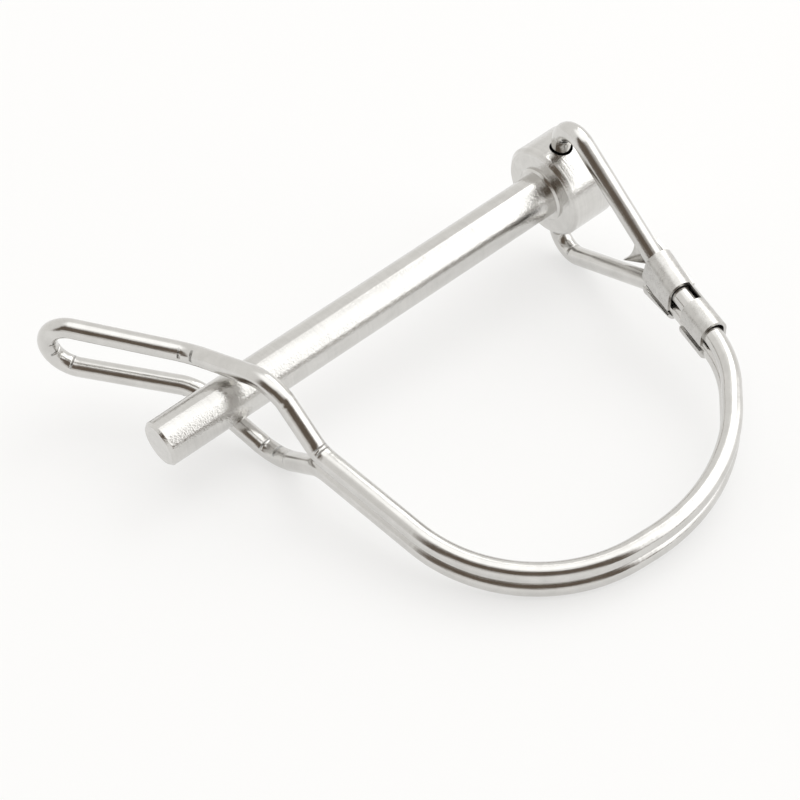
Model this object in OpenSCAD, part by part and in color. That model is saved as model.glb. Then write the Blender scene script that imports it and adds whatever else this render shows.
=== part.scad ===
// Wire lock pin: a turned pin with a collar head, a bent wire bail that hinges in the
// collar's cross-hole and snaps over the pin's tip, and a folded sheet-metal clip that
// holds the bail's two strands together.
//
// The bail is designed flat: the pin lies along -X, the two strands mirror each other
// about Z = 0, and the bow bulges towards -Y. The whole lock pin is then laid down the
// way it comes to rest on a table, on three points of the bail's lower strand.
// Lengths along the pin are measured from the collar's seating face. The origin is the
// centre of the shank's foot, where the shank leaves its shoulder.

/* [Pin] */
// Diameter of the pin's shank
pin_d = 6; // [5:0.1:6.3]
// Length of the pin under the collar
pin_length = 61.3; // [55:0.1:62]
// Chamfer round the tip
tip_chamfer = 0.35; // [0.1:0.05:1]

/* [Collar] */
// Diameter of the collar
collar_d = 12.7; // [10:0.1:16]
// Thickness of the collar
collar_length = 6.9; // [5:0.1:9]
// Chamfer round the collar's seating face
collar_front_chamfer = 0.5; // [0.1:0.05:1]
// Chamfer round the collar's back face
collar_back_chamfer = 0.4; // [0.1:0.05:1]
// Diameter of the small turned shoulder between the shank and the seating face
shoulder_d = 7.5; // [6.6:0.1:9]
// Length of the small turned shoulder
shoulder_length = 0.5; // [0.2:0.05:1]
// Distance from the seating face to the cross-hole's axis
hole_from_face = 3.2; // [2.6:0.1:4]

/* [Wire] */
// Diameter of the bail's wire
wire_d = 2.5; // [1.8:0.05:2.8]
// Play between the wire and the wall of the cross-hole, all round
hole_play = 0.25; // [0.05:0.05:0.4]
// Gap between the two strands where they run side by side
strand_gap = 0.1; // [0.05:0.05:0.4]
// Length of each wire end inside the cross-hole, measured from the collar's side
leg_depth = 5; // [2:0.1:6]
// Height of the slight swelling that the bending tool leaves at each end of a bend
bend_mark = 0.015; // [0.01:0.005:0.03]

/* [Bail arms] */
// Height of the arms' outer corner above the bail's middle plane
arm_height = 12.9; // [11:0.1:16]
// Bend radius of the wire at the collar
arm_bend = 3.1; // [2.5:0.1:4]
// Distance from the cross-hole to the corner where the arms meet the clip
arm_length = 20.7; // [18:0.1:26]
// How far that corner lies nearer to the tip than the cross-hole does
arm_offset = 1.8; // [0:0.1:4]
// Bend radius where the arms come together
junction_bend = 9; // [5:0.5:12]

/* [Bow] */
// Distance of the bow's first corner from the seating face, along the pin
bow_1_x = 2.2; // [0:0.1:4]
// Distance of the bow's first corner from the pin's axis
bow_1_y = 35.9; // [34:0.1:40]
// Bend radius at the first corner
bow_1_bend = 15.7; // [8:0.1:17]
// Distance of the bow's second corner from the seating face
bow_2_x = 15.4; // [13:0.1:18]
// Distance of the bow's second corner from the pin's axis
bow_2_y = 49.8; // [47:0.1:54]
// Bend radius at the second corner
bow_2_bend = 25.3; // [15:0.1:28]
// Distance of the bow's third corner from the seating face
bow_3_x = 45.9; // [42:0.1:47]
// Distance of the bow's third corner from the pin's axis
bow_3_y = 46.7; // [43:0.1:50]
// Bend radius at the third corner
bow_3_bend = 19.5; // [12:0.1:21]

/* [Catch] */
// Distance of the catch's first corner, where the strands part, from the seating face
catch_1_x = 48.3; // [46:0.1:50]
// Distance of that corner from the pin's axis
catch_1_y = 14.4; // [12:0.1:16]
// Bend radius where the strands part
catch_1_bend = 4.2; // [2:0.1:6]
// Distance of the eye's near corner from the seating face
eye_near_x = 48.5; // [47:0.1:50]
// Distance of the eye's near corner from the pin's axis, on the bow's side
eye_near_y = 8.5; // [8:0.1:9]
// Height of the eye's near corner above the middle plane
eye_near_height = 5.9; // [5.6:0.1:6.3]
// Bend radius at the eye's near corner
eye_near_bend = 3.1; // [2.6:0.1:4]
// Distance of the eye's top corner from the seating face
eye_top_x = 48.9; // [48:0.1:50.5]
// Distance of the eye's top corner from the pin's axis, on the bow's side
eye_top_y = 5.4; // [5:0.1:5.8]
// Height of the eye's top corner above the middle plane
eye_top_height = 7.25; // [6.95:0.05:7.6]
// Bend radius at the eye's top corner
eye_top_bend = 6.2; // [4:0.1:6.8]
// Distance of the waist from the seating face
waist_x = 51.3; // [50:0.1:53]
// Distance of the waist from the pin's axis, on the far side
waist_y = 6.3; // [5.5:0.1:7.5]
// Height of the waist above the middle plane
waist_height = 3.25; // [2.95:0.05:3.5]
// Bend radius at the waist
waist_bend = 8; // [5:0.5:14]
// Distance of the closed end from the seating face
end_x = 62.1; // [58:0.1:64]
// Distance of the closed end from the pin's axis, on the far side
end_y = 21.8; // [19:0.1:25]
// Half the distance between the strands at the closed end
end_height = 3.8; // [3.6:0.05:4.3]

/* [Clip] */
// Thickness of the clip's sheet
sheet = 0.4; // [0.3:0.05:0.5]
// Play between the wire and the clip
clip_play = 0.2; // [0.12:0.01:0.3]
// Angle between the clip and the strands in it, which lets the arms leave it freely
clip_skew = 1; // [0:0.25:2]
// Where the first tab starts, measured from the junction of the arms towards the bow
tab_1_start = -1.4; // [-2:0.1:-0.8]
// Where the first tab ends
tab_1_end = 4.2; // [3:0.1:5]
// Where the second tab starts
tab_2_start = 7; // [5.6:0.1:8]
// Where the second tab ends
tab_2_end = 11.5; // [9.5:0.1:11.8]
// Height of the first upper tab's free edge, below the middle plane
tab_1_reach = 0.9; // [0.2:0.1:1.2]
// Height of the second upper tab's free edge, below the middle plane
tab_2_reach = 0.1; // [-0.4:0.1:0.5]
// Gap between an upper tab's free edge and the lower tab's free edge
tab_slot = 0.9; // [0.3:0.1:1.2]
// Width of the rolled edge that the spine keeps between the two tabs
spine_lip = 0.8; // [0.5:0.1:1.2]
// Where the spine folds in between the arms, measured from the junction
tongue_fold = -4.2; // [-5:0.1:-3]
// Angle by which the tongue is folded in
tongue_angle = 30; // [10:1:35]
// Length of the folded tongue
tongue_length = 4.4; // [2:0.1:5]
// Half the width of the tongue at its end
tongue_end_width = 3.8; // [2:0.1:3.9]
// Depth of the hollow in the tongue's end
tongue_hollow = 1.4; // [0.4:0.1:2]

/* [Hidden] */
$fn = 64;

wire_r = wire_d / 2;
hole_d = wire_d + 2 * hole_play;
pair_height = wire_r + strand_gap / 2;
tab_leg = 2 * pair_height;
overcut = 1;
mark_gap = 0.02;
channel_lap = 0.4;
steel = [0.80, 0.80, 0.79];
steel_bright = [0.86, 0.86, 0.85];
steel_satin = [0.74, 0.74, 0.72];

// Corners of the upper strand's centreline, from the cross-hole to the closed end
hinge = [hole_from_face, 0, 0];
arm_top = hinge + [0, 0, arm_height];
junction = [hole_from_face - arm_offset, -arm_length, pair_height];
bow = [
    [-bow_1_x, -bow_1_y, pair_height],
    [-bow_2_x, -bow_2_y, pair_height],
    [-bow_3_x, -bow_3_y, pair_height],
];
parting = [-catch_1_x, -catch_1_y, pair_height];
eye_near = [-eye_near_x, -eye_near_y, eye_near_height];
eye_top = [-eye_top_x, -eye_top_y, eye_top_height];
waist = [-waist_x, waist_y, waist_height];
end_corner = [-end_x, end_y, end_height];
end_middle = [-end_x, end_y, 0];
end_bend = end_height / tan(turn(end_corner - waist, end_middle - end_corner) / 2);
leg_end = hinge + [0, 0, collar_d / 2 - leg_depth];

corners = concat([leg_end, arm_top, junction], bow, [parting, eye_near, eye_top, waist, end_corner, end_middle]);
bends = [arm_bend, junction_bend, bow_1_bend, bow_2_bend, bow_3_bend,
    catch_1_bend, eye_near_bend, eye_top_bend, waist_bend, end_bend];

// Vector helpers
function unit(v) = v / norm(v);
function turn(a, b) = acos(unit(a) * unit(b));
function flip(p) = [p.x, p.y, -p.z];

// A bend at corner i: how far it reaches along both legs, its start and its centre
function reach(i) = bends[i - 1] * tan(turn(corners[i] - corners[i - 1], corners[i + 1] - corners[i]) / 2);
function leg_in(i) = unit(corners[i] - corners[i - 1]);
function leg_out(i) = unit(corners[i + 1] - corners[i]);
function bend_start(i) = corners[i] - leg_in(i) * reach(i);
function bend_end(i) = corners[i] + leg_out(i) * reach(i);
function bend_inward(i) = unit(leg_out(i) - leg_in(i) * (leg_in(i) * leg_out(i)));
function bend_centre(i) = bend_start(i) + bend_inward(i) * bends[i - 1];
function bend_point(i, a) = bend_centre(i)
    + bends[i - 1] * (sin(a) * leg_in(i) - cos(a) * bend_inward(i));

// The rest pose: the plane that touches the lower strand at the head, the eye and the bow
last_bend = len(bends);
head_bends = [1];
bow_bends = [3, 4, 5];
eye_bends = [7, 8];
rest_steps = 48;
settle_rounds = 6;
function strand_points(group) = [
    for (i = group, k = [0:rest_steps]) flip(bend_point(i, turn(leg_in(i), leg_out(i)) * k / rest_steps))
];
function lowest(points, up, i = 0, best = 0) =
    i == len(points) ? points[best] : lowest(points, up, i + 1, points[i] * up < points[best] * up ? i : best);
function touch_plane(up, points) =
    let (a = lowest(points[0], up), b = lowest(points[1], up), c = lowest(points[2], up))
    unit(cross(b - a, c - a));
function settle(up, points, rounds) =
    rounds < 1 ? up : settle(touch_plane(up, points), points, rounds - 1);
contact_groups = [strand_points(head_bends), strand_points(eye_bends), strand_points(bow_bends)];
rest_up = settle([0, 0, 1], contact_groups, settle_rounds);
rest_side = unit(cross(rest_up, [1, 0, 0]));
rest_along = cross(rest_side, rest_up);

// Directions at the clip: along the strands towards the bow, and towards the pin
clip_along = unit([bow[0].x - junction.x, bow[0].y - junction.y, 0]);
clip_turn = atan2(clip_along.y, clip_along.x) + clip_skew;
clip_inner = wire_r + clip_play;
clip_outer = clip_inner + sheet;
arm_slope = (arm_height - pair_height) / norm([arm_offset, arm_length]);
junction_corner = 2;
// Height of the upper strand's centreline above the middle plane, and its slope there
function strand_height(s) =
    reach(junction_corner) - s > junction_bend * sin(atan(arm_slope)) ? pair_height - s * arm_slope
    : pair_height + junction_bend - sqrt(pow(junction_bend, 2) - pow(reach(junction_corner) - s, 2));
strand_slope = min(atan(arm_slope), asin((reach(junction_corner) - tab_1_start) / junction_bend));
// Height of the rolled edge's axis where the first tab starts, clear of the parting arm
flare_height = strand_height(tab_1_start) + wire_r / cos(strand_slope) - wire_r;
flare_run = tab_1_end - tab_1_start;
flare_angle = atan2(flare_height - pair_height, flare_run);

// Lays the flat design down into its rest pose
module at_rest() {
    multmatrix([
        [rest_along.x, rest_along.y, rest_along.z, 0],
        [rest_side.x, rest_side.y, rest_side.z, 0],
        [rest_up.x, rest_up.y, rest_up.z, 0],
        [0, 0, 0, 1],
    ]) translate([shoulder_length, 0, 0]) children();
}

// The turned pin's half outline: distance along the axis from the tip, and radius
module pin_outline() {
    shank_r = pin_d / 2;
    collar_r = collar_d / 2;
    shoulder_r = shoulder_d / 2;
    polygon([
        [0, pin_length],
        [shank_r - tip_chamfer, pin_length],
        [shank_r, pin_length - tip_chamfer],
        [shank_r, shoulder_length],
        [shoulder_r - shoulder_length / 2, shoulder_length],
        [shoulder_r, shoulder_length / 2],
        [shoulder_r, 0],
        [collar_r - collar_front_chamfer, 0],
        [collar_r, -collar_front_chamfer],
        [collar_r, collar_back_chamfer - collar_length],
        [collar_r - collar_back_chamfer, -collar_length],
        [0, -collar_length],
    ]);
}

module pin() {
    color(steel) at_rest() difference() {
        rotate([0, -90, 0]) rotate_extrude() pin_outline();
        translate([hole_from_face, 0, -collar_d / 2 - overcut])
            cylinder(h = collar_d + 2 * overcut, d = hole_d);
    }
}

// A straight length of wire from a to b, which stops just short of both ends
module straight(a, b) {
    along = b - a;
    translate(a) rotate([0, acos(along.z / norm(along)), atan2(along.y, along.x)])
        translate([0, 0, mark_gap]) cylinder(h = norm(along) - 2 * mark_gap, r = wire_r);
}

// The bend at corner i of the upper strand, which stops short by the angle given
module bend(i, short = 0) {
    c = bend_centre(i);
    x = -bend_inward(i);
    y = leg_in(i);
    z = cross(x, y);
    multmatrix([
        [x.x, y.x, z.x, c.x],
        [x.y, y.y, z.y, c.y],
        [x.z, y.z, z.z, c.z],
        [0, 0, 0, 1],
    ]) rotate_extrude(angle = turn(leg_in(i), leg_out(i)) - short)
        translate([bends[i - 1], 0]) circle(r = wire_r);
}

// The slight swelling at the end of a bend, which also closes the gap between two lengths
module mark(p) {
    translate(p) sphere(r = wire_r + bend_mark);
}

// One strand of the bail: straight lengths joined by bends
module strand() {
    translate(leg_end) cylinder(h = bend_start(1).z - leg_end.z - mark_gap, r = wire_r);
    for (i = [1:last_bend]) {
        mark(bend_start(i));
        bend(i, i == last_bend ? atan(mark_gap / end_bend) : 0);
        mark(bend_end(i));
        if (i < last_bend) straight(bend_end(i), bend_start(i + 1));
    }
}

module wire_bail() {
    color(steel_bright) at_rest() {
        strand();
        mirror([0, 0, 1]) strand();
    }
}

// The clip is drawn with X along the strands, the spine at +Y and the pin's side at -Y.
// Half of the channel: an edge rolled round the upper strand, with its two straight legs
module channel_half(run, leg) {
    rotate([90, 0, 90]) rotate_extrude(angle = 180) translate([clip_inner, 0]) square([sheet, run]);
    translate([0, clip_inner, -leg]) cube([run, sheet, leg]);
    translate([0, -clip_outer, -leg]) cube([run, sheet, leg]);
}

// The channel that holds both strands, narrow at the bow and flared towards the arms
module clip_channel() {
    for (m = [0, 1]) mirror([0, 0, m]) {
        translate([tab_1_end, 0, pair_height]) channel_half(tab_2_end - tab_1_end, tab_leg);
        translate([tab_1_end, 0, pair_height]) rotate([0, flare_angle, 0])
            translate([-flare_run, 0, 0]) channel_half(flare_run + channel_lap, tab_leg);
    }
    translate([tongue_fold, clip_inner, -flare_height])
        cube([tab_1_end - tongue_fold, sheet, 2 * flare_height]);
}

// The notch that parts the two pairs of tabs and leaves the spine's rolled edge
module tab_notch() {
    notch_depth = 2 * clip_outer;
    notch_height = 2 * (flare_height + 2 * clip_outer);
    translate([tab_1_end, clip_outer - spine_lip - notch_depth, -notch_height / 2])
        cube([tab_2_start - tab_1_end, notch_depth, notch_height]);
}

// The slot between the free edges of a pair of tabs, on the pin's side
module tab_slot_cut(s0, s1, reach_down) {
    translate([s0 - overcut, -clip_outer - overcut, -reach_down - tab_slot])
        cube([s1 - s0 + overcut, overcut + sheet + clip_play, tab_slot]);
}

// The tongue at the spine's end, folded in between the arms, with a hollow end
module clip_tongue() {
    hollow_r = (pow(tongue_end_width, 2) / tongue_hollow + tongue_hollow) / 2;
    translate([tongue_fold, clip_outer, 0]) rotate([0, 0, tongue_angle]) rotate([90, 0, 0])
        linear_extrude(sheet) difference() {
            polygon([
                [0, -flare_height],
                [0, flare_height],
                [-tongue_length, tongue_end_width],
                [-tongue_length, -tongue_end_width],
            ]);
            translate([tongue_hollow - tongue_length - hollow_r, 0]) circle(r = hollow_r);
        }
}

module clip() {
    color(steel_satin) at_rest() translate([junction.x, junction.y, 0]) rotate([0, 0, clip_turn]) {
        difference() {
            clip_channel();
            tab_notch();
            tab_slot_cut(tab_1_start, tab_1_end, tab_1_reach);
            tab_slot_cut(tab_2_start, tab_2_end + overcut, tab_2_reach);
        }
        clip_tongue();
    }
}

pin();
wire_bail();
clip();
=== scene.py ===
"""Looks of the wire lock pin: polished steel wire, a turned pin and a folded clip on a white table.

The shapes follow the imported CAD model. The wire is swept again as one smooth tube, so that its
polish reflects without facets; the pin and the clip keep their CAD solids. The scene is in
metres; the values of the design and of the wire are in millimetres, in the CAD's design frame.
"""

import math

import bpy
import numpy as np
from mathutils import Matrix, Vector


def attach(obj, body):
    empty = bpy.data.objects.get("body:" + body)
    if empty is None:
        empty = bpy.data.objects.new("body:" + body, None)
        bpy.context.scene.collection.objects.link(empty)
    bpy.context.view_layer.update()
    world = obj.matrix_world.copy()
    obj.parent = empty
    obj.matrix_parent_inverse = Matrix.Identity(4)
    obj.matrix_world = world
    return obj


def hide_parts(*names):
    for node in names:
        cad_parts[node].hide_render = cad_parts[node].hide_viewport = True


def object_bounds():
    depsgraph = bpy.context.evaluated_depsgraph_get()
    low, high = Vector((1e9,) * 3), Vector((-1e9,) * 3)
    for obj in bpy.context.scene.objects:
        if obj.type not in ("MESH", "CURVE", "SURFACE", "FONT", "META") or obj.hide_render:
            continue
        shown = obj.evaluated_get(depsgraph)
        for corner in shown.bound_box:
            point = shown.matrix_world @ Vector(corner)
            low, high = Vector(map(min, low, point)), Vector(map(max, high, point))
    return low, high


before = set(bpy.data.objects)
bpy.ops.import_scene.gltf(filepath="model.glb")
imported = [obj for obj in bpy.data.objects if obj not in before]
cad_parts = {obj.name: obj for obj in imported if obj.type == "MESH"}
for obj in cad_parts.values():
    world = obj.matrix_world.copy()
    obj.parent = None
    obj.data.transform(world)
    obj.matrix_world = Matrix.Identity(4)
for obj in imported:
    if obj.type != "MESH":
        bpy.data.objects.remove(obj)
cad_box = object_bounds()
MM = 0.001

# ---------------------------------------------------------------- design values, as in the CAD
SHOULDER_LENGTH = 0.5
WIRE_R = 1.25
PAIR_HEIGHT = 1.3
LEG_TIP = 1.35
END_HEIGHT = 3.8
CORNERS = [
    (3.2, 0, LEG_TIP),
    (3.2, 0, 12.9),
    (1.4, -20.7, PAIR_HEIGHT),
    (-2.2, -35.9, PAIR_HEIGHT),
    (-15.4, -49.8, PAIR_HEIGHT),
    (-45.9, -46.7, PAIR_HEIGHT),
    (-48.3, -14.4, PAIR_HEIGHT),
    (-48.5, -8.5, 5.9),
    (-48.9, -5.4, 7.25),
    (-51.3, 6.3, 3.25),
    (-62.1, 21.8, END_HEIGHT),
    (-62.1, 21.8, 0),
]
BENDS = [3.1, 9, 15.7, 25.3, 19.5, 4.2, 3.1, 6.2, 8]
HEAD_BENDS, EYE_BENDS, BOW_BENDS = [1], [7, 8], [3, 4, 5]
REST_STEPS, SETTLE_ROUNDS = 48, 6

# ---------------------------------------------------------------- values of the looks
# The tube's rings lie close together near the ends of each bend and straight.
TUBE_SIDES = 48
NEAR_END, FINE_STEP, COARSE_STEP = 1.0, 0.08, 0.6
# Marks of the bending tool: a groove round the wire between two ridges. The strengths belong to
# the start of the bend at that corner, and all other ends of bends have the faint mark.
BEND_MARK, RIDGE_AWAY, RIDGE_WIDTH, GROOVE_WIDTH = 0.015, 0.34, 0.15, 0.17
TOOL_MARKS, FAINT_MARK = {6: 0.15, 7: 0.7, 9: 0.6, 10: 0.25}, 0.08

# Each steel goes from its first colour and roughness to its second as its noise rises.
NOISE_LOW, NOISE_HIGH = 0.3, 0.7
WIRE_COLOURS, WIRE_ROUGHNESS = ((0.61, 0.60, 0.58), (0.69, 0.68, 0.66)), (0.09, 0.22)
PIN_COLOURS, PIN_ROUGHNESS = ((0.60, 0.59, 0.57), (0.70, 0.69, 0.67)), (0.08, 0.16)
SHEET_COLOURS, SHEET_ROUGHNESS = ((0.52, 0.51, 0.49), (0.66, 0.65, 0.63)), (0.22, 0.36)
# Scales of the noise: per millimetre of length and per turn for the wire, along x, y and z for
# the others.
WIRE_LINES, SHEET_GRAIN = (0.25, 60, 1), (4, 4, 4)
PIN_SPECKLE, PIN_CLOUD = (3.6, 5, 5), (0.25, 0.8, 0.8)
# The pin's tool rings grow from faint to full between these two x. The clip's sheet goes from
# satin to the polish of its tongue between these two y.
SHANK_UNTIL, HEAD_FROM, SHANK_RINGS = -0.6, 0.2, 0.05
SHEET_UNTIL, TONGUE_FROM, TONGUE_DULLNESS = -18.5, -17.5, 0.25

PAPER, PAPER_ROUGHNESS, PAPER_SHEEN = (0.885, 0.883, 0.878), 0.7, 0.1
PAPER_GLOW, GLOW_COLOUR = 0.62, (1.0, 0.998, 0.99)
TABLE_REACH = 1.2

# The studio: grey walls, a bright panel on the right, the dark room in which the camera stands,
# the table's pale front edge below it, and a bright ceiling. Each lies over those before it.
# Angles are in degrees: lowest, highest, and the soft width outside them.
GREY, PANEL = (0.92, 0.91, 0.89), (1.75, 1.75, 1.74)
DARK_ROOM, FRONT_EDGE = (0.15, 0.12, 0.095), (0.78, 0.76, 0.73)
ZONES = [
    # colour, azimuth from the front toward the right, elevation
    (PANEL, (20, 78, 10), (7, 90, 5)),
    (DARK_ROOM, (-100, 10, 9), (-90, 50, 14)),
    (DARK_ROOM, (10, 36, 8), (-90, 4, 3)),
    (FRONT_EDGE, (-84, -10, 8), (-90, 9, 6)),
]
CEILING, OVERHEAD = (1.55, 1.55, 1.54), (72, 90, 16)

# The softbox, in metres and watts, pointed at a place on the table.
KEY_AT, KEY_TOWARD, KEY_SIDE, KEY_POWER = (0.42, 0.10, 0.50), (-0.030, -0.015), 0.36, 0.7

# The camera, in millimetres and degrees in the design frame, and turned with the part to its
# rest pose. The lens is in millimetres too, but clips in metres.
CAMERA_AT = (-140.17, -146.37, 213.67)
AZIMUTH, ELEVATION, ROLL = (math.radians(a) for a in (-38.277, 51.717, -2.570))
SENSOR_WIDTH, FOCAL_LENGTH, SHIFT_UP = 36, 102.45, 0.0025
CLIP_START, CLIP_END = 0.01, 10


def unit(v):
    return v / np.linalg.norm(v)


# ---------------------------------------------------------------- the wire's centreline
corners = [np.array(c, float) for c in CORNERS]
end_turn = math.acos(unit(corners[10] - corners[9]) @ unit(corners[11] - corners[10]))
bends = BENDS + [END_HEIGHT / math.tan(end_turn / 2)]


def bend_frame(i):
    """Start, direction there, inward direction, centre, radius and angle of the bend at corner i."""
    into = unit(corners[i] - corners[i - 1])
    out = unit(corners[i + 1] - corners[i])
    turn = math.acos(into @ out)
    radius = bends[i - 1]
    start = corners[i] - into * radius * math.tan(turn / 2)
    inward = unit(out - into * (into @ out))
    return start, into, inward, start + inward * radius, radius, turn


def bend_point(i, angle):
    """The point on the bend at corner i after the angle given."""
    _, into, inward, centre, radius, _ = bend_frame(i)
    return centre + radius * (math.sin(angle) * into - math.cos(angle) * inward)


def bend_points(i, steps):
    """Points along the bend at corner i, with its start and end."""
    turn = bend_frame(i)[5]
    return [bend_point(i, turn * k / steps) for k in range(steps + 1)]


def rest_rotation():
    """The rotation that lays the design down on the three places where the lower strand rests."""
    flip = np.array([1, 1, -1])
    groups = [
        np.array([p * flip for i in group for p in bend_points(i, REST_STEPS)])
        for group in (HEAD_BENDS, EYE_BENDS, BOW_BENDS)
    ]
    up = np.array([0.0, 0.0, 1.0])
    for _ in range(SETTLE_ROUNDS):
        a, b, c = (g[np.argmin(g @ up)] for g in groups)
        up = unit(np.cross(b - a, c - a))
    side = unit(np.cross(up, [1, 0, 0]))
    return np.array([np.cross(side, up), side, up])


ROTATION = rest_rotation()


def to_row(points):
    """Design millimetres to row-frame metres."""
    moved = np.asarray(points, float) + [SHOULDER_LENGTH, 0, 0]
    return moved @ ROTATION.T * MM


def spaced(length):
    """Distances along a length: close together near its two ends, wider between them."""
    close = min(NEAR_END, length / 2)
    near = np.arange(0, close, FINE_STEP)
    middle = np.linspace(close, length - close, int((length - 2 * close) / COARSE_STEP) + 2)
    return np.unique(np.concatenate([near, middle, length - near]).round(4))


def strand_line():
    """Centreline of the upper strand: points, and which point ends or starts which bend."""
    points, marks = [corners[0]], []
    for i in range(1, len(corners) - 1):
        start, _, _, _, radius, turn = bend_frame(i)
        origin = points[-1]
        run = np.linalg.norm(start - origin)
        points += [origin + (start - origin) * d / run for d in spaced(run)[1:]]
        marks.append((len(points) - 1, i))
        points += [bend_point(i, d / radius) for d in spaced(radius * turn)[1:]]
        marks.append((len(points) - 1, i))
    return np.array(points), marks


# ---------------------------------------------------------------- helpers
def new_object(name, data, body=None):
    obj = bpy.data.objects.new(name, data)
    bpy.context.scene.collection.objects.link(obj)
    if body:
        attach(obj, body)
    return obj


def distances_along(line):
    """How far along the line each of its points lies."""
    return np.r_[0, np.cumsum(np.linalg.norm(np.diff(line, axis=0), axis=1))]


def sweep(name, line, radius, around, material):
    """A tube of varying radius along a line, with flat ends. Its UV is length, turns."""
    tangent = np.gradient(line, axis=0)
    tangent /= np.linalg.norm(tangent, axis=1)[:, None]
    normal = unit(np.cross(tangent[0], [1, 0, 0]))
    rings, arc = [], distances_along(line)
    angles = np.linspace(0, 2 * math.pi, around, endpoint=False)
    for point, along, r in zip(line, tangent, radius):
        normal = unit(normal - along * (normal @ along))
        other = np.cross(along, normal)
        circle = np.outer(np.cos(angles), normal) + np.outer(np.sin(angles), other)
        rings.append(point + r * circle)
    verts = np.concatenate(rings)
    faces = []
    for i in range(len(line) - 1):
        for k in range(around):
            n = (k + 1) % around
            near, far = i * around, (i + 1) * around
            faces.append((near + k, near + n, far + n, far + k))
    faces.append(tuple(range(around - 1, -1, -1)))
    last = (len(line) - 1) * around
    faces.append(tuple(range(last, last + around)))
    mesh = bpy.data.meshes.new(name)
    mesh.from_pydata([tuple(v) for v in to_row(verts)], [], faces)
    uv = mesh.uv_layers.new(name="length_angle")
    for face_no, poly in enumerate(mesh.polygons):
        if len(poly.vertices) != 4:
            continue
        i, k = divmod(face_no, around)
        spots = [(i, k), (i, k + 1), (i + 1, k + 1), (i + 1, k)]
        for loop, (ring, turn) in zip(poly.loop_indices, spots):
            uv.data[loop].uv = (arc[ring], turn / around)
        poly.use_smooth = True
    mesh.materials.append(material)
    return mesh


# ---------------------------------------------------------------- materials
# The colour sockets of a Mix node, which share their names with its other kinds of socket.
MIX_BELOW, MIX_ABOVE, MIX_RESULT = 6, 7, 2


def node(tree, kind, **values):
    """A new shader node. A value named in_X goes to its input X, any other to its property."""
    made = tree.nodes.new(kind)
    for key, value in values.items():
        if key.startswith("in_"):
            made.inputs[key[3:].replace("_", " ")].default_value = value
        else:
            setattr(made, key, value)
    return made


def ramp(tree, value, colours):
    """The first colour where the noise is low, the second where it is high."""
    made = node(tree, "ShaderNodeValToRGB")
    tree.links.new(value, made.inputs["Fac"])
    for element, place, colour in zip(made.color_ramp.elements, (NOISE_LOW, NOISE_HIGH), colours):
        element.position = place
        element.color = (*colour, 1)
    return made.outputs["Color"]


def noise(tree, vector, scale, detail=4.0, roughness=0.6):
    made = node(
        tree, "ShaderNodeTexNoise", in_Scale=scale, in_Detail=detail, in_Roughness=roughness)
    tree.links.new(vector, made.inputs["Vector"])
    return made.outputs["Fac"]


def stretched(tree, vector, scale):
    made = node(tree, "ShaderNodeMapping", in_Scale=scale)
    tree.links.new(vector, made.inputs["Vector"])
    return made.outputs["Vector"]


def blend_of(tree, a, b, share):
    made = node(tree, "ShaderNodeMix", data_type="FLOAT", in_Factor=share)
    tree.links.new(a, made.inputs["A"])
    tree.links.new(b, made.inputs["B"])
    return made.outputs["Result"]


def spread(tree, value, low, high, out_low, out_high):
    """Carries the range low to high over to out_low to out_high, and stops at both ends."""
    made = node(
        tree, "ShaderNodeMapRange",
        in_From_Min=low, in_From_Max=high, in_To_Min=out_low, in_To_Max=out_high)
    tree.links.new(value, made.inputs["Value"])
    return made.outputs["Result"]


def between(tree, noise_value, ends):
    """The first number where the noise is low, the second where it is high."""
    return spread(tree, noise_value, NOISE_LOW, NOISE_HIGH, *ends)


def raise_by(tree, height, strength, distance, below=None):
    """Bumps of that height, on top of the bumps below."""
    made = node(tree, "ShaderNodeBump", in_Strength=strength, in_Distance=distance)
    tree.links.new(height, made.inputs["Height"])
    if below is not None:
        tree.links.new(below, made.inputs["Normal"])
    return made.outputs["Normal"]


def calculate(tree, operation, a, b=None):
    made = node(tree, "ShaderNodeMath", operation=operation)
    for socket, value in zip(made.inputs, (a, b)):
        if isinstance(value, (int, float)):
            socket.default_value = value
        elif value is not None:
            tree.links.new(value, socket)
    return made.outputs["Value"]


def product(tree, a, b):
    return calculate(tree, "MULTIPLY", a, b)


def window(tree, value, low, high, soft):
    """1 where the value lies between low and high, falling to 0 over the soft width outside."""
    rise = spread(tree, value, low - soft, low, 0, 1)
    fall = spread(tree, value, high, high + soft, 1, 0)
    return product(tree, rise, fall)


def layer(tree, below, colour, share):
    """The colour laid over what is below, in the share given."""
    made = node(tree, "ShaderNodeMix", data_type="RGBA")
    tree.links.new(share, made.inputs["Factor"])
    if isinstance(below, tuple):
        made.inputs[MIX_BELOW].default_value = (*below, 1)
    else:
        tree.links.new(below, made.inputs[MIX_BELOW])
    made.inputs[MIX_ABOVE].default_value = (*colour, 1)
    return made.outputs[MIX_RESULT]


def metal(name):
    """A new steel: material, tree, shader, design-frame position in millimetres, and UV."""
    material = bpy.data.materials.new(name)
    material.use_nodes = True
    tree = material.node_tree
    shader = tree.nodes["Principled BSDF"]
    shader.inputs["Metallic"].default_value = 1.0
    place = node(tree, "ShaderNodeTexCoord")
    turn = node(tree, "ShaderNodeMapping")
    turn.inputs["Rotation"].default_value = Matrix(ROTATION.T.tolist()).to_euler("XYZ")
    turn.inputs["Scale"].default_value = (1 / MM, 1 / MM, 1 / MM)
    tree.links.new(place.outputs["Object"], turn.inputs["Vector"])
    return material, tree, shader, turn.outputs["Vector"], place.outputs["UV"]


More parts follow.
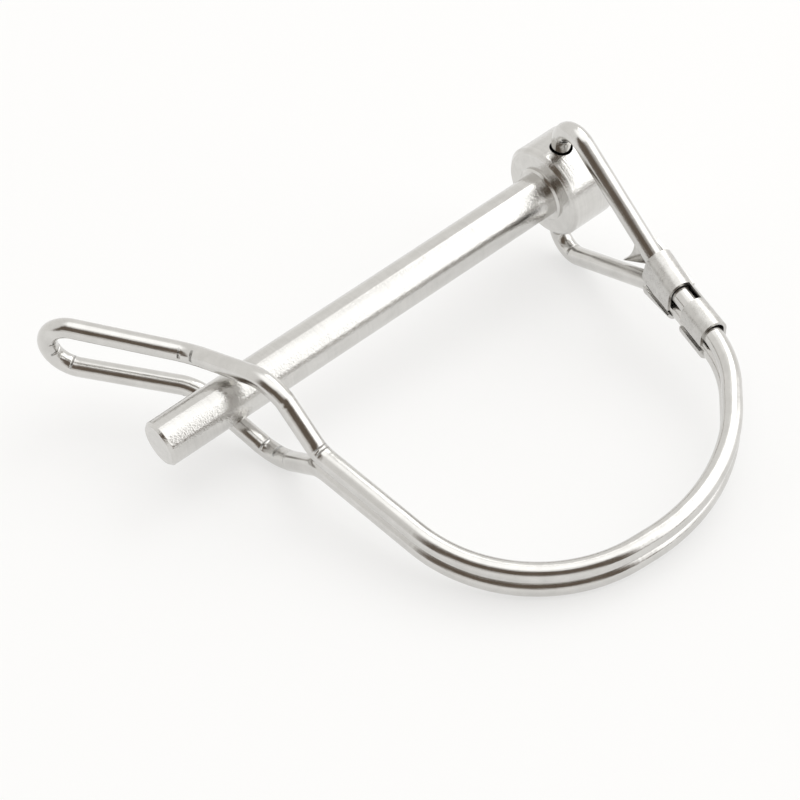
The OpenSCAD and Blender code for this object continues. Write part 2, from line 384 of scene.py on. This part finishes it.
def wire_material():
    """Drawn spring wire: almost a mirror, with fine lines along it and faint cloudy patches."""
    material, tree, shader, spot, along = metal("spring_wire")
    lines = noise(tree, stretched(tree, along, WIRE_LINES), scale=1.0, detail=3.0)
    cloud = noise(tree, spot, scale=0.45)
    grain = noise(tree, spot, scale=7.0, detail=2.0)
    tree.links.new(ramp(tree, cloud, WIRE_COLOURS), shader.inputs["Base Color"])
    roughness = between(tree, blend_of(tree, cloud, lines, share=0.5), WIRE_ROUGHNESS)
    tree.links.new(roughness, shader.inputs["Roughness"])
    normal = raise_by(tree, lines, strength=0.5, distance=0.022 * MM)
    normal = raise_by(tree, grain, strength=0.16, distance=0.014 * MM, below=normal)
    tree.links.new(normal, shader.inputs["Normal"])
    return material


def turned_material():
    """Turned bar: speckle all over, and rings from the cutting tool, mostly on the head."""
    material, tree, shader, spot, _ = metal("turned_steel")
    parts = node(tree, "ShaderNodeSeparateXYZ")
    tree.links.new(spot, parts.inputs["Vector"])
    radial = node(tree, "ShaderNodeCombineXYZ")
    tree.links.new(parts.outputs["Y"], radial.inputs["Y"])
    tree.links.new(parts.outputs["Z"], radial.inputs["Z"])
    radius = node(tree, "ShaderNodeVectorMath", operation="LENGTH")
    tree.links.new(radial.outputs["Vector"], radius.inputs[0])
    ring_spot = node(tree, "ShaderNodeCombineXYZ")
    tree.links.new(parts.outputs["X"], ring_spot.inputs["X"])
    tree.links.new(radius.outputs["Value"], ring_spot.inputs["Y"])
    rings = noise(tree, ring_spot.outputs["Vector"], scale=3.5, detail=3.0)
    speckle = noise(tree, stretched(tree, spot, PIN_SPECKLE), scale=1.0, detail=2.0)
    cloud = noise(tree, stretched(tree, spot, PIN_CLOUD), scale=1.0)
    colour = ramp(tree, blend_of(tree, cloud, rings, share=0.4), PIN_COLOURS)
    tree.links.new(colour, shader.inputs["Base Color"])
    roughness = between(tree, blend_of(tree, cloud, speckle, share=0.6), PIN_ROUGHNESS)
    tree.links.new(roughness, shader.inputs["Roughness"])
    on_head = spread(tree, parts.outputs["X"], SHANK_UNTIL, HEAD_FROM, SHANK_RINGS, 1.0)
    ring_height = product(tree, rings, on_head)
    normal = raise_by(tree, ring_height, strength=0.7, distance=0.042 * MM)
    normal = raise_by(tree, speckle, strength=0.7, distance=0.036 * MM, below=normal)
    tree.links.new(normal, shader.inputs["Normal"])
    return material


def sheet_material():
    """Pressed sheet: satin and slightly blotchy where it is folded, and polished on its tongue."""
    material, tree, shader, spot, _ = metal("sheet_steel")
    cloud = noise(tree, spot, scale=0.9)
    grain = noise(tree, stretched(tree, spot, SHEET_GRAIN), scale=1.0, detail=3.0, roughness=0.7)
    tree.links.new(ramp(tree, cloud, SHEET_COLOURS), shader.inputs["Base Color"])
    satin = between(tree, blend_of(tree, cloud, grain, share=0.5), SHEET_ROUGHNESS)
    parts = node(tree, "ShaderNodeSeparateXYZ")
    tree.links.new(spot, parts.inputs["Vector"])
    dullness = spread(
        tree, parts.outputs["Y"], SHEET_UNTIL, TONGUE_FROM, 1.0, TONGUE_DULLNESS)
    tree.links.new(product(tree, satin, dullness), shader.inputs["Roughness"])
    height = product(tree, grain, dullness)
    normal = raise_by(tree, height, strength=0.7, distance=0.032 * MM)
    tree.links.new(normal, shader.inputs["Normal"])
    return material


spring_wire, turned_steel, sheet_steel = wire_material(), turned_material(), sheet_material()

# ---------------------------------------------------------------- the wire
# The lower strand mirrors the upper one, and the last mark is the middle of the closed end.
half, half_marks = strand_line()
centreline = np.concatenate([half, half[-2::-1] * [1, 1, -1]])
count = len(centreline)
lengths = distances_along(centreline)
swell = np.zeros(count)
for number, (ring, bend) in enumerate(half_marks[:-1]):
    at_start = number % 2 == 0
    strength = TOOL_MARKS.get(bend, FAINT_MARK) if at_start else FAINT_MARK
    for m in (ring, count - 1 - ring):
        away = np.abs(lengths - lengths[m])
        ridges = np.exp(-(((away - RIDGE_AWAY) / RIDGE_WIDTH) ** 2))
        groove = np.exp(-((away / GROOVE_WIDTH) ** 2))
        swell += strength * BEND_MARK * (ridges - groove)
wire_mesh = sweep("wire", centreline, WIRE_R + swell, TUBE_SIDES, spring_wire)
wire = new_object("wire", wire_mesh, "bail")
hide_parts("wire_bail")

# ---------------------------------------------------------------- the pin and the clip keep their solids
for name, material in (("pin", turned_steel), ("clip", sheet_steel)):
    for material_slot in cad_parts[name].material_slots:
        material_slot.material = material

# ---------------------------------------------------------------- table, studio, light and camera
floor_z = cad_box[0][2]
sides = ((-1, -1), (1, -1), (1, 1), (-1, 1))
table_corners = [(x * TABLE_REACH, y * TABLE_REACH, floor_z) for x, y in sides]
floor_mesh = bpy.data.meshes.new("table")
floor_mesh.from_pydata(table_corners, [], [(0, 1, 2, 3)])
table = new_object("table", floor_mesh)
paper = bpy.data.materials.new("table_white")
paper.use_nodes = True
paper_shader = paper.node_tree.nodes["Principled BSDF"]
paper_shader.inputs["Base Color"].default_value = (*PAPER, 1)
paper_shader.inputs["Roughness"].default_value = PAPER_ROUGHNESS
paper_shader.inputs["Specular IOR Level"].default_value = PAPER_SHEEN
# Seen by the camera or in the steel, the paper glows a little, which keeps its shadows pale.
paper_tree = paper.node_tree
seen = node(paper_tree, "ShaderNodeLightPath")
by_eye = calculate(paper_tree, "MAXIMUM", seen.outputs["Is Camera Ray"], seen.outputs["Is Glossy Ray"])
glow = node(paper_tree, "ShaderNodeEmission", in_Color=(*GLOW_COLOUR, 1))
paper_mix = node(paper_tree, "ShaderNodeMixShader")
paper_tree.links.new(product(paper_tree, by_eye, PAPER_GLOW), paper_mix.inputs["Fac"])
paper_tree.links.new(paper_shader.outputs["BSDF"], paper_mix.inputs[1])
paper_tree.links.new(glow.outputs["Emission"], paper_mix.inputs[2])
surface = paper_tree.nodes["Material Output"].inputs["Surface"]
paper_tree.links.new(paper_mix.outputs["Shader"], surface)
floor_mesh.materials.append(paper)

world = bpy.data.worlds.new("studio")
bpy.context.scene.world = world
world.use_nodes = True
sky = world.node_tree
background = sky.nodes["Background"]
place = node(sky, "ShaderNodeTexCoord")
split = node(sky, "ShaderNodeSeparateXYZ")
sky.links.new(place.outputs["Generated"], split.inputs["Vector"])
DEGREE = 180 / math.pi
toward_front = product(sky, split.outputs["Y"], -1.0)
turn_right = calculate(sky, "ARCTAN2", split.outputs["X"], toward_front)
azimuth = product(sky, turn_right, DEGREE)
elevation = product(sky, calculate(sky, "ARCSINE", split.outputs["Z"]), DEGREE)
level = GREY
for colour, across, upward in ZONES:
    share = product(sky, window(sky, azimuth, *across), window(sky, elevation, *upward))
    level = layer(sky, level, colour, share)
level = layer(sky, level, CEILING, window(sky, elevation, *OVERHEAD))
sky.links.new(level, background.inputs["Color"])
background.inputs["Strength"].default_value = 1.0

softbox = bpy.data.lights.new("key_softbox", "AREA")
softbox.shape = "RECTANGLE"
softbox.size = softbox.size_y = KEY_SIDE
softbox.energy = KEY_POWER
lamp = new_object("key_softbox", softbox)
lamp.location = KEY_AT
pointing = Vector((*KEY_TOWARD, floor_z)) - Vector(KEY_AT)
lamp.rotation_euler = pointing.to_track_quat("-Z", "Y").to_euler()

# The camera's axes: back points from the part to the camera.
back = np.array([
    math.sin(AZIMUTH) * math.cos(ELEVATION),
    -math.cos(AZIMUTH) * math.cos(ELEVATION),
    math.sin(ELEVATION),
])
level_right = np.array([math.cos(AZIMUTH), math.sin(AZIMUTH), 0])
level_up = np.cross(back, level_right)
right = math.cos(ROLL) * level_right + math.sin(ROLL) * level_up
up = math.cos(ROLL) * level_up - math.sin(ROLL) * level_right
placing = np.eye(4)
placing[:3, :3] = np.stack([ROTATION @ v for v in (right, up, back)], 1)
placing[:3, 3] = to_row(CAMERA_AT)
lens = bpy.data.cameras.new("camera")
lens.sensor_width = SENSOR_WIDTH
lens.lens = FOCAL_LENGTH
lens.shift_y = SHIFT_UP
lens.clip_start, lens.clip_end = CLIP_START, CLIP_END
camera = new_object("camera", lens)
camera.matrix_world = Matrix(placing.tolist())
bpy.context.scene.camera = camera
bpy.context.scene.view_settings.view_transform = "Standard"
